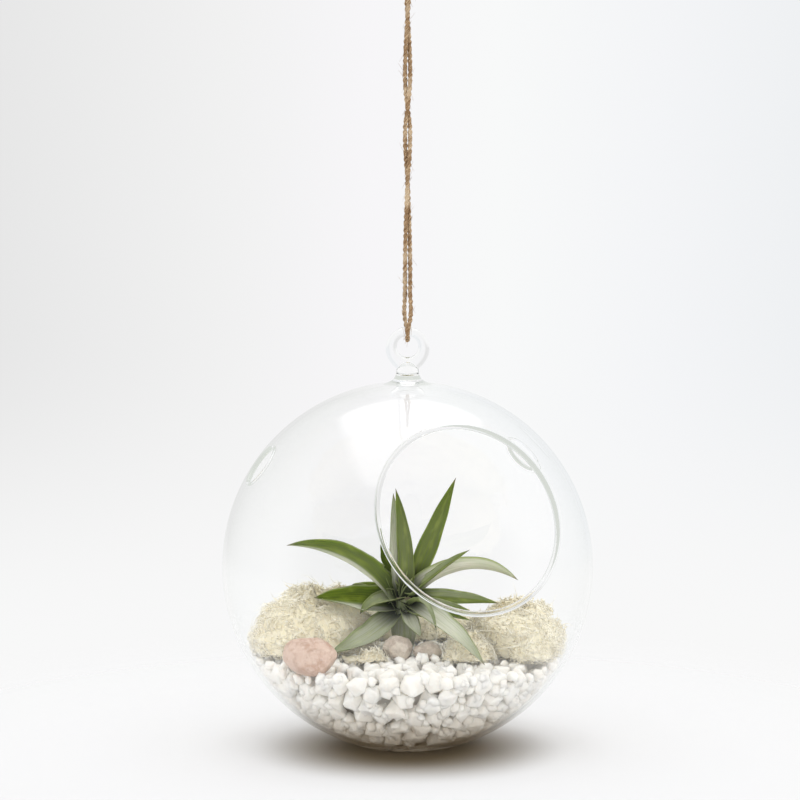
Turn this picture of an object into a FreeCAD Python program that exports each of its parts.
"""Globe terrarium: a blown glass globe that hangs from a twine loop, with an air plant on gravel and moss.

The front of the terrarium faces -Y, +X is to its right and +Z is up. The origin is the middle of the
flat under the globe. A turn is an angle round the Z axis, from the front towards the right.
"""

import FreeCAD, Part

import itertools
import math
import os
import random

V = FreeCAD.Vector
UP = V(0, 0, 1)

# Sizes in millimetres and degrees.

# The blown globe
globe_diameter = 150.0
wall = 1.6
foot_diameter = 42.0  # the flat that the globe stands on
foot_thickness = 3.2
foot_blend = 4.0  # rounding between the flat and the globe
mouth_radius = 37.6  # to the middle of the melted rim
mouth_rim = 2.4  # thickness of the melted rim
mouth_turn = 23.25
mouth_tilt = 23.5  # how far the mouth looks up
vent_radius = 9.0
vent_rim = 2.0
vent_tilt = 35.0
left_vent_turn = -74.0
right_vent_turn = 126.0

# The solid glass eye on top of the globe
pad_radius = 8.4  # where the eye is welded to the globe
neck_radius = 4.5
neck_rise = 3.9
eye_radius = 8.8
eye_hole_radius = 4.3
eye_hole_lift = 0.8  # the hole sits a little above the middle of the head
eye_thickness = 5.0

# The twine
twine_diameter = 2.0
twine_reach = 137.0  # from the top of the eye to the knot
twine_slack = 0.34  # how far the bend hangs below the bar, which it crosses askew
knot_width = 6.4
tail_length = 11.0

# The gravel
gravel_share = 0.476  # depth of its top under the middle of the globe, as a share of the inside radius
chip_size = 6.6  # least distance between the middles of two chips
chip_gap = 0.3
chip_corners = 8
chip_unevenness = 1.6  # how far open chips stand above the level

# The stones, long, deep and high
pink_stone_size = (21.0, 16.5, 16.0)
pink_stone_turn = -41.0
stone_to_glass = 1.6
round_stone_size = (11.5, 11.0, 11.0)
flat_stone_size = (10.5, 9.0, 8.4)

# The moss
moss_height = 25.0
moss_gap = 0.8
leaf_to_moss = 2.2

# The air plant
crown_height = 20.0  # from the gravel to where the leaves part
stem_radius = 5.2
leaf_length = 60.0
leaf_width = 10.5
leaf_thickness = 1.1

# Everything below is worked out from the sizes.
globe_radius = globe_diameter / 2
inside_radius = globe_radius - wall
middle_radius = globe_radius - wall / 2
centre = V(0, 0, math.sqrt(globe_radius**2 - (foot_diameter / 2) ** 2))
globe_top = centre.z + globe_radius
level = centre.z - gravel_share * inside_radius
bed_radius = math.sqrt(inside_radius**2 - (centre.z - level) ** 2)
eye_middle = globe_top + neck_rise + 0.05 * eye_radius + eye_radius
eye_top = eye_middle + eye_radius
eye_bar = eye_radius - eye_hole_lift - eye_hole_radius
eye_rounding = min(0.4 * eye_thickness, 0.5 * eye_bar)
eye_lip = min(0.4 * eye_thickness, 0.45 * eye_bar)
crown = V(-0.01 * globe_diameter, 0, level + crown_height)


def heading(turn, tilt=0.0):
    """The unit vector that looks along a turn and up by a tilt."""
    turn, tilt = math.radians(turn), math.radians(tilt)
    return V(math.cos(tilt) * math.sin(turn), -math.cos(tilt) * math.cos(turn), math.sin(tilt))


def revolved(edges):
    """The solid of revolution of a closed outline in the XZ plane round the Z axis."""
    return Part.Face(Part.Wire(edges)).revolve(V(), UP, 360)


def line(start, end):
    """A straight edge."""
    return Part.LineSegment(start, end).toShape()


def arc(start, through, end):
    """A circular edge through three points."""
    return Part.Arc(start, through, end).toShape()


# The glass


def flat_bottomed_ball(radius, floor, blend):
    """A ball about the middle of the globe, cut level at the floor, with the edge of the flat rounded."""
    ball = Part.makeSphere(radius, centre)
    ball = ball.common(Part.makeBox(4 * radius, 4 * radius, 4 * radius, V(-2 * radius, -2 * radius, floor)))
    edges = [e for e in ball.Edges if abs(e.BoundBox.ZMax - floor) < 1e-6 and e.Length > radius * 0.1]
    return ball.makeFillet(blend, edges)


def hole_cone(radius, direction):
    """A cone from the middle of the globe that cuts a round hole square to the wall."""
    depth = math.sqrt(middle_radius**2 - radius**2)
    length = 1.3 * globe_radius
    return Part.makeCone(0, radius * length / depth, length, centre, direction)


def melted_rim(radius, thickness, direction):
    """The ring that the flame leaves round a hole in the wall."""
    depth = math.sqrt(middle_radius**2 - radius**2)
    return Part.makeTorus(radius, thickness / 2, centre + direction * depth, direction)


def welded_pad():
    """The foot of the eye: it spreads over the globe and closes in a dome inside the eye's head."""
    neck_z = globe_top + neck_rise
    edge_z = centre.z + math.sqrt(globe_radius**2 - pad_radius**2)
    spread = pad_radius - neck_radius
    rise = neck_z - edge_z
    waist = V(neck_radius + 0.22 * spread, 0, edge_z + 0.42 * rise)
    slant = neck_radius * math.sqrt(0.5)
    return revolved(
        [
            line(V(0, 0, globe_top - wall / 2), V(pad_radius, 0, edge_z - wall / 2)),
            line(V(pad_radius, 0, edge_z - wall / 2), V(pad_radius, 0, edge_z)),
            arc(V(pad_radius, 0, edge_z), waist, V(neck_radius, 0, neck_z)),
            arc(V(neck_radius, 0, neck_z), V(slant, 0, neck_z + slant), V(0, 0, neck_z + neck_radius)),
            line(V(0, 0, neck_z + neck_radius), V(0, 0, globe_top - wall / 2)),
        ]
    )


def eye_head():
    """The head of the eye: a round plate that tapers into the neck, with a hole, all its edges rounded."""
    middle = V(0, 0, eye_middle)
    inside_neck = math.sqrt((0.94 * neck_radius) ** 2 - (eye_thickness / 2) ** 2)
    neck = V(inside_neck, 0, globe_top + neck_rise)
    reach = (neck - middle).Length
    swing = math.atan2(neck.z - middle.z, neck.x) + math.acos(eye_radius / reach)
    side = middle + V(math.cos(swing), 0, math.sin(swing)) * eye_radius
    root = V(neck.x, 0, globe_top)

    def mirrored(point):
        return V(-point.x, 0, point.z)

    outline = Part.Wire(
        [
            line(mirrored(root), root),
            line(root, neck),
            line(neck, side),
            arc(side, V(0, 0, eye_top), mirrored(side)),
            line(mirrored(side), mirrored(neck)),
            line(mirrored(neck), mirrored(root)),
        ]
    )
    plate = Part.Face(outline).extrude(V(0, eye_thickness, 0))
    plate.translate(V(0, -eye_thickness / 2, 0))
    rims = [
        e
        for e in plate.Edges
        if e.BoundBox.YLength < 1e-6 and e.BoundBox.ZMax > neck.z + 1e-6
    ]
    plate = plate.makeFillet(eye_rounding, rims)
    hole_middle = V(0, -eye_thickness, eye_middle + eye_hole_lift)
    hole = Part.makeCylinder(eye_hole_radius, 2 * eye_thickness, hole_middle, V(0, 1, 0))
    plate = plate.cut(hole)
    lips = [
        e
        for e in plate.Edges
        if hasattr(e.Curve, "Radius") and abs(e.Curve.Radius - eye_hole_radius) < 1e-6
        and e.BoundBox.YLength < 1e-6
    ]
    return plate.makeFillet(eye_lip, lips)


def glass_globe():
    """The globe, blown in one piece with its eye: thin wall, thick flat foot, melted mouth and vents."""
    shell = flat_bottomed_ball(globe_radius, 0, foot_blend)
    shell = shell.cut(flat_bottomed_ball(inside_radius, foot_thickness, foot_blend))
    holes = [
        (mouth_radius, mouth_rim, heading(mouth_turn, mouth_tilt)),
        (vent_radius, vent_rim, heading(left_vent_turn, vent_tilt)),
        (vent_radius, vent_rim, heading(right_vent_turn, vent_tilt)),
    ]
    shell = shell.cut([hole_cone(radius, direction) for radius, _, direction in holes])
    rims = [melted_rim(*hole) for hole in holes]
    eye = welded_pad().fuse(eye_head())
    return shell.fuse([*rims, eye]).removeSplitter()


# The stones


def pebble(size, middle, turn, lean):
    """An egg-shaped stone: a ball stretched along its three axes, leant over and turned."""
    ball = Part.makeSphere(1.0)
    shape = FreeCAD.Matrix()
    shape.scale(size[0] / 2, size[1] / 2, size[2] / 2)
    shape.rotateY(math.radians(lean))
    shape.rotateZ(math.radians(turn))
    shape.move(middle)
    return ball.transformGeometry(shape)


def stone_places():
    """The middle, turn, lean and size of each stone."""
    pink_z = level + 0.36 * pink_stone_size[2]
    room = math.sqrt(inside_radius**2 - (pink_z - centre.z) ** 2)
    pink = heading(pink_stone_turn) * (room - pink_stone_size[1] / 2 - stone_to_glass)
    spread = (round_stone_size[0] + flat_stone_size[0]) / 4
    front = -0.27 * bed_radius
    return {
        "pink_stone": (V(pink.x, pink.y, pink_z), pink_stone_turn, 12.0, pink_stone_size),
        "round_stone": (
            V(1.6 - spread, front, level + 0.36 * round_stone_size[2]),
            8.0,
            0.0,
            round_stone_size,
        ),
        "flat_stone": (
            V(2.2 + spread, front - 0.5, level + 0.34 * flat_stone_size[2]),
            -12.0,
            -9.0,
            flat_stone_size,
        ),
    }


# Room for grown and poured things


class Room:
    """The space that a lump may fill: half-spaces and the inside of the globe."""

    def __init__(self, clearance):
        self.planes = []
        self.ball = inside_radius - clearance

    def add(self, normal, point):
        """Keep to the side of the point that the normal looks away from."""
        self.planes.append((normal, normal.dot(point)))

    def reach(self, start, direction, longest):
        """How far a ray runs before it leaves the room."""
        far = longest
        for normal, offset in self.planes:
            speed = normal.dot(direction)
            if speed > 1e-9:
                far = min(far, (offset - normal.dot(start)) / speed)
        out = start - centre
        along = out.dot(direction)
        left = along**2 - out.dot(out) + self.ball**2
        return max(0.0, min(far, math.sqrt(max(left, 0.0)) - along))


def beside_stone(stone, point):
    """The plane that touches a stone on the side of a point, as its normal and where it touches."""
    middle, turn, lean, size = stone
    axes = []
    for k, axis in enumerate((V(1, 0, 0), V(0, 1, 0), V(0, 0, 1))):
        spun = FreeCAD.Rotation(V(0, 0, 1), turn).multVec(FreeCAD.Rotation(V(0, 1, 0), lean).multVec(axis))
        axes.append((spun, size[k] / 2))
    away = point - middle
    parts = [away.dot(axis) / half for axis, half in axes]
    length = math.sqrt(sum(part**2 for part in parts))
    touch = middle + away * (1 / length)
    normal = V()
    for part, (axis, half) in zip(parts, axes):
        normal += axis * (part / half)
    return normal.normalize(), touch, length


def solid_of(faces):
    """The closed solid that a list of flat outlines bounds."""
    return Part.Solid(Part.Shell([Part.Face(Part.makePolygon([*f, f[0]])) for f in faces]))


def wrapped(points):
    """The flat faces of the tightest convex skin round a few points."""
    near = 1e-5
    faces = {}
    for triple in itertools.combinations(range(len(points)), 3):
        first, second, third = (points[k] for k in triple)
        normal = (second - first).cross(third - first)
        if normal.Length < 0.01:
            continue
        normal.normalize()
        heights = [normal.dot(point - first) for point in points]
        if max(heights) > near and min(heights) < -near:
            continue
        if max(heights) > near:
            normal = -normal
        faces[frozenset(k for k, height in enumerate(heights) if abs(height) < near)] = normal
    outlines = []
    for corners, normal in faces.items():
        if any(corners < other for other in faces):
            continue
        outline = [points[k] for k in corners]
        middle = sum(outline, V()) * (1 / len(outline))
        side = (outline[0] - middle).normalize()
        other = normal.cross(side)
        outline.sort(key=lambda p: math.atan2((p - middle).dot(other), (p - middle).dot(side)))
        outlines.append(outer_corners(outline, normal))
    return outlines


def outer_corners(outline, normal):
    """The corners of a flat outline, in order, without those that lie inside it or along its sides."""
    k = 0
    while k < len(outline):
        before, point, after = outline[k - 1], outline[k], outline[(k + 1) % len(outline)]
        if (point - before).cross(after - point).dot(normal) < 1e-4:
            outline.pop(k)
            k = max(k - 2, 0)
        else:
            k += 1
    return outline


def apart(points, least):
    """The points without those that lie too close to an earlier one."""
    kept = []
    for point in points:
        if all((point - other).Length > least for other in kept):
            kept.append(point)
    return kept


# The gravel


def spread_seeds(generator, stones):
    """The middles of the chips: close together where they show, wider apart in the heart of the fill."""
    seeds = []
    half = chip_size / 2

    def scatter(least, deepest, spacing, tries):
        for _ in range(tries):
            radius = bed_radius * math.sqrt(generator.random())
            spot = heading(generator.uniform(0, 360)) * radius
            spot.z = generator.uniform(foot_thickness, level)
            depth = min(inside_radius - (spot - centre).Length, spot.z - foot_thickness, level - spot.z)
            if not least <= depth <= deepest:
                continue
            if any(beside_stone(stone, spot)[2] < 1.0 + half / max(stone[3]) for stone in stones):
                continue
            if all((spot - seed).Length >= spacing for seed, _ in seeds):
                seeds.append((spot, spacing))

    scatter(0.42 * chip_size, 0.62 * chip_size, chip_size, 60000)
    scatter(1.2 * chip_size, globe_radius, 1.5 * chip_size, 4000)
    return seeds


def scattered_directions(generator, flat_topped):
    """Directions spread evenly over a ball and spun by chance, with three more for a flat top."""
    spin = FreeCAD.Rotation(generator.uniform(0, 360), generator.uniform(0, 360), generator.uniform(0, 360))
    directions = []
    for k in range(chip_corners):
        height = 1 - (2 * k + 1) / chip_corners
        angle = k * math.pi * (3 - math.sqrt(5)) + generator.uniform(-0.3, 0.3)
        ring = math.sqrt(1 - height**2)
        directions.append(spin.multVec(V(ring * math.cos(angle), ring * math.sin(angle), height)))
    if flat_topped:
        directions += [heading(turn, 50) for turn in (0, 120, 240)]
    return directions


def touching(seeds):
    """For each chip, the chips that it touches: its nearest few and those that have it as a near one."""
    partners = [set() for _ in seeds]
    for k, (spot, spacing) in enumerate(seeds):
        order = sorted(range(len(seeds)), key=lambda other: (seeds[other][0] - spot).Length)
        for other in order[1 : 4 if spacing == chip_size else 7]:
            partners[k].add(other)
            partners[other].add(k)
    return partners


def covered(spot):
    """Whether moss or the plant hides the gravel over a point."""
    for x, y, long, deep, _ in MOSS.values():
        along = (spot.x / bed_radius - x) / (long + 0.06)
        across = (spot.y / bed_radius - y) / (deep + 0.06)
        if math.hypot(along, across) < 1:
            return True
    return math.hypot(spot.x - crown.x, spot.y - crown.y) < stem_radius + chip_size


def gravel(stones):
    """The fill of marble chips: each chip is a convex lump that keeps to its own share of the space."""
    generator = random.Random(11)
    seeds = spread_seeds(generator, stones)
    chips = []
    for (spot, spacing), partners in zip(seeds, touching(seeds)):
        room = Room(0.1)
        for other, _ in seeds:
            away = other - spot
            if 0 < away.Length < 3.2 * spacing:
                normal = away * (1 / away.Length)
                room.add(normal, spot + away * 0.5 - normal * (chip_gap / 2))
        under = covered(spot)
        directions = [(seeds[k][0] - spot).normalize() for k in sorted(partners)]
        directions += scattered_directions(generator, under)
        for stone in stones:
            normal, touch, _ = beside_stone(stone, spot)
            room.add(-normal, touch + normal * 0.02)
            if (touch - spot).Length < spacing:
                directions.append((touch - spot).normalize())
        lift = 0.0 if under else generator.uniform(-0.3, 1.0) * chip_unevenness
        room.add(V(0, 0, 1), V(0, 0, level + lift))
        room.add(V(0, 0, -1), V(0, 0, foot_thickness))
        longest = 0.8 * spacing if spacing == chip_size else 1.3 * spacing
        corners = [
            spot + direction * room.reach(spot, direction, generator.uniform(0.75, 1.0) * longest)
            for direction in directions
        ]
        chips.append(solid_of(wrapped(apart(corners, 0.06 * chip_size))))
    return Part.makeCompound(chips)


# The air plant


class Leaf:
    """A channelled leaf that leaves the crown at a turn and arches from one slope to another."""

    def __init__(self, turn, length, width, rise, droop, tier, roll=0.0):
        self.out = heading(turn)
        self.side = heading(turn + 90)
        self.length = length * leaf_length
        self.width = width * leaf_width
        self.rise = math.radians(rise)
        self.droop = math.radians(droop)
        self.start = crown + UP * (tier * crown_height) + self.out * (0.3 * stem_radius)
        self.roll = roll
        self.spots = [spot for k in range(5, 21) for spot in self.across(k / 20)]

    def station(self, share):
        """The point and the slope of the midrib at a share of the leaf's length."""
        steps = 24
        point = V(self.start)
        for k in range(steps):
            slope = self.rise + (self.droop - self.rise) * share * (k + 0.5) / steps
            point += (self.out * math.cos(slope) + UP * math.sin(slope)) * (self.length * share / steps)
        return point, self.rise + (self.droop - self.rise) * share

    def half_width(self, share):
        """Half of the blade's width: it widens out of the crown and runs to a long point."""
        if share < 0.34:
            return 0.5 * self.width * (0.72 + 0.28 * math.sin(share / 0.34 * math.pi / 2))
        return max(0.5 * self.width * (1 - ((share - 0.34) / 0.66) ** 1.9), 0.12)

    def blade(self, share):
        """The midrib, the way across, the way off the upper face, half the width and the channel."""
        point, slope = self.station(share)
        tangent = self.out * math.cos(slope) + UP * math.sin(slope)
        side = FreeCAD.Rotation(tangent, self.roll).multVec(self.side)
        half = self.half_width(share)
        return point, side, tangent.cross(side), half, half * (0.42 + 0.3 * abs(2 * share - 0.9))

    def across(self, share):
        """Five points on the blade, from edge to edge."""
        point, side, up, half, channel = self.blade(share)
        return [point + side * (half * k) + up * (channel * k**2) for k in (-1, -0.5, 0, 0.5, 1)]

    def section(self, share):
        """The crescent across the blade, as a closed wire."""
        point, side, up, half, channel = self.blade(share)
        thick = leaf_thickness * (0.25 + 0.75 * (1 - share)) * min(1.0, half / 1.2)
        left = point - side * half + up * channel
        right = point + side * half + up * channel
        return Part.Wire([arc(left, point, right), arc(right, point - up * thick, left)])

    def solid(self):
        """The blade, lofted from the crown to the point."""
        shares = (0.0, 0.2, 0.4, 0.6, 0.78, 0.92, 1.0)
        return Part.makeLoft([self.section(share) for share in shares], True, False)


# Each leaf: turn, length and width as shares, slope at the crown and at the tip, tier, roll.
LEAVES = (
    Leaf(-84, 0.97, 0.96, 69, -6, -0.24, -50),
    Leaf(125, 0.79, 0.74, 84, 110, 0.00, 30),
    Leaf(232, 0.74, 0.90, 77, 93, 0.00, -10),
    Leaf(115, 0.90, 0.80, 67, 65, 0.02, 55),
    Leaf(98, 0.86, 1.00, 56, -36, -0.02, -46),
    Leaf(75, 0.55, 0.54, 43, 33, 0.10, 32),
    Leaf(82, 0.62, 0.74, 2, -6, 0.08, 40),
    Leaf(63, 0.48, 0.46, -2, -9, 0.06, 28),
    Leaf(54, 0.54, 0.44, -12, -4, 0.02, 20),
    Leaf(36, 0.92, 0.86, -8, -32, 0.04, 24),
    Leaf(28, 0.56, 0.30, 56, -80, -0.18, 0),
    Leaf(-47, 0.69, 1.04, -36, -3, -0.12, -22),
    Leaf(-58, 0.34, 0.84, 10, -38, 0.08, -16),
    Leaf(-76, 0.60, 1.30, 7, 7, -0.06, -40),
    Leaf(238, 0.48, 0.60, 66, 74, 0.00, -40),
    Leaf(14, 0.44, 0.62, -26, -6, -0.12, 0),
    Leaf(33, 0.32, 0.56, -12, 0, -0.10, 0),
    Leaf(50, 0.13, 0.34, 4, 30, 0.16, 0),
    Leaf(-130, 0.46, 0.70, 30, -8, -0.04, 0),
    Leaf(-165, 0.62, 0.84, 42, -22, -0.10, 0),
    Leaf(156, 0.64, 0.84, 42, -24, -0.06, 0),
)


def air_plant():
    """The plant: a short stem and its rosette of leaves, grown as one."""
    top = crown.z + 0.12 * crown_height
    waist = 0.62 * stem_radius
    stem = revolved(
        [
            line(V(0, 0, level), V(waist, 0, level)),
            arc(V(waist, 0, level), V(stem_radius, 0, (level + top) / 2), V(0.5 * waist, 0, top)),
            line(V(0.5 * waist, 0, top), V(0, 0, top)),
            line(V(0, 0, top), V(0, 0, level)),
        ]
    )
    stem.translate(V(crown.x, crown.y, 0))
    return stem.fuse([leaf.solid() for leaf in LEAVES])


# The moss

# Each clump: its middle and half sizes as shares of the gravel's radius, and its height as a share.
MOSS = {
    "moss_left": (-0.60, 0.02, 0.44, 0.36, 1.0),
    "moss_right": (0.68, -0.04, 0.36, 0.40, 0.82),
    "moss_back": (0.03, 0.62, 0.56, 0.34, 0.52),
    "moss_front_left": (-0.25, -0.33, 0.17, 0.14, 0.26),
    "moss_front_right": (0.37, -0.30, 0.20, 0.17, 0.40),
}


def under_leaves(point):
    """The greatest height that stays under every leaf over a point."""
    highest = inside_radius * 2
    for leaf in LEAVES:
        for spot in leaf.spots:
            if math.hypot(spot.x - point.x, spot.y - point.y) < leaf_to_moss + 2.2:
                highest = min(highest, spot.z - leaf_thickness - leaf_to_moss)
    return highest


def moss_clump(name, stones):
    """A clump of moss: a rough dome on the gravel, clear of the glass, the stones and the plant."""
    x, y, long, deep, high = MOSS[name]
    generator = random.Random(name)
    middle = V(x * bed_radius, y * bed_radius, level)
    room = Room(1.0)
    for other, (ox, oy, olong, odeep, _) in MOSS.items():
        if other != name:
            away = V(ox * bed_radius, oy * bed_radius, level) - middle
            share = (long + deep) / (long + deep + olong + odeep)
            normal = away * (1 / away.Length)
            room.add(normal, middle + away * share - normal * (moss_gap / 2))
    for stone in stones:
        normal, touch, _ = beside_stone(stone, middle)
        room.add(-normal, touch + normal * moss_gap)
    away = V(crown.x, crown.y, level) - middle
    normal = away * (1 / away.Length)
    room.add(normal, middle + away - normal * (stem_radius + moss_gap))
    phases = [generator.uniform(0, 2 * math.pi) for _ in range(6)]
    sectors = 30
    rings = 7

    def surface(ring, sector):
        lean = math.radians(90 * ring / rings)
        angle = 2 * math.pi * (sector + 0.5 * (ring % 2)) / sectors
        direction = V(math.sin(lean) * math.cos(angle), math.sin(lean) * math.sin(angle), math.cos(lean))
        size = V(direction.x / long, direction.y / deep, 0) * (1 / bed_radius)
        size.z = direction.z / (high * moss_height)
        swell = 1.0
        for k, phase in enumerate(phases):
            swell += 0.05 * math.sin((k + 2) * angle + phase) * math.sin((k + 1.5) * lean + phase)
        swell += generator.uniform(-0.05, 0.05)
        point = middle + direction * room.reach(middle, direction, swell / size.Length)
        point.z = max(min(point.z, under_leaves(point)), level)
        return point if ring == rings else point + UP * (0.6 - 0.5 * ring / rings)

    top = surface(0, 0)
    grid = [[surface(ring, sector) for sector in range(sectors)] for ring in range(1, rings + 1)]
    faces = [[top, grid[0][s], grid[0][(s + 1) % sectors]] for s in range(sectors)]
    for ring in range(rings - 1):
        shift = (ring + 1) % 2
        for s in range(sectors):
            after = (s + 1) % sectors
            inner, outer = grid[ring], grid[ring + 1]
            if shift:
                faces.append([inner[s], outer[s], inner[after]])
                faces.append([inner[after], outer[s], outer[after]])
            else:
                faces.append([inner[s], outer[s], outer[after]])
                faces.append([inner[s], outer[after], inner[after]])
    faces.append(grid[-1])
    return solid_of(faces)


# The twine


def twine_ends():
    """The knot's middle, the side that the front strand lies on, and how far a strand lies out."""
    knot = V(0, 0, eye_top + twine_reach)
    swing = (eye_thickness + twine_diameter) / 2 + 0.1
    apart = 0.55 * twine_diameter
    side = V(apart, -swing, 0).normalize()
    return knot, side, swing, apart


def twine():
    """One strand, taut from the knot down to the eye, round under its bar and back up to the knot."""
    knot, side, swing, apart = twine_ends()
    turn_radius = math.hypot(swing, apart)
    inner = turn_radius - twine_diameter / 2 - eye_lip
    middle = V(0, 0, eye_top - eye_bar + eye_lip - twine_slack)
    middle.z += math.sqrt(inner**2 - (eye_thickness / 2 - eye_lip) ** 2)
    end = V(apart, 0, knot.z - middle.z)
    slant = math.atan2(end.z, end.x) - math.acos(turn_radius / math.hypot(end.x, end.z))
    touch = side * (turn_radius * math.cos(slant)) + UP * (turn_radius * math.sin(slant)) + middle
    front_end = knot + side * apart
    back_end = knot - side * apart
    back_touch = V(-touch.x, -touch.y, touch.z)
    path = Part.Wire(
        [
            line(front_end, touch),
            arc(touch, middle - UP * turn_radius, back_touch),
            line(back_touch, back_end),
        ]
    )
    start = Part.Wire(Part.Circle(front_end, touch - front_end, twine_diameter / 2).toShape())
    tube = path.makePipeShell([start], True, False)
    section = math.pi * twine_diameter**2 / 4
    print(f"twine: {path.Length:.1f} mm long, bend radius {turn_radius:.2f} mm")
    print(f"twine: volume {tube.Volume:.1f} mm3, section times length {section * path.Length:.1f} mm3")
    return tube


def twine_knot(strand):
    """The knot that closes the loop: three wraps round both strands, with the two cut ends above it."""
    knot, side, _, _ = twine_ends()
    radius = twine_diameter / 2
    inner = V(knot_width / 2 - radius, 0, 0)
    wraps = 3
    low = knot - UP * (wraps * radius)
    edges = [line(low, low + inner)]
    for k in range(wraps):
        start = low + inner + UP * (2 * radius * k)
        edges.append(arc(start, start + V(radius, 0, radius), start + UP * (2 * radius)))
    high = low + UP * (2 * radius * wraps)
    edges += [line(high + inner, high), line(high, low)]
    tails = [
        Part.makeCylinder(radius, tail_length, high - UP * radius, (UP + side * lean).normalize())
        for lean in (0.45, -0.4)
    ]
    return revolved(edges).fuse(tails).cut(strand)


def main():
    """Write every piece."""
    os.makedirs("parts", exist_ok=True)
    places = stone_places()
    stones = list(places.values())
    strand = twine()
    pieces = {
        "glass_globe": glass_globe(),
        "gravel": gravel(stones),
        "air_plant": air_plant(),
        "twine": strand,
        "twine_knot": twine_knot(strand),
    }
    for name, (middle, turn, lean, size) in places.items():
        pieces[name] = pebble(size, middle, turn, lean)
    for name in MOSS:
        pieces[name] = moss_clump(name, stones)
    for name, shape in pieces.items():
        shape.exportStep(f"parts/{name}.step")


if __name__ == "__main__":
    main()
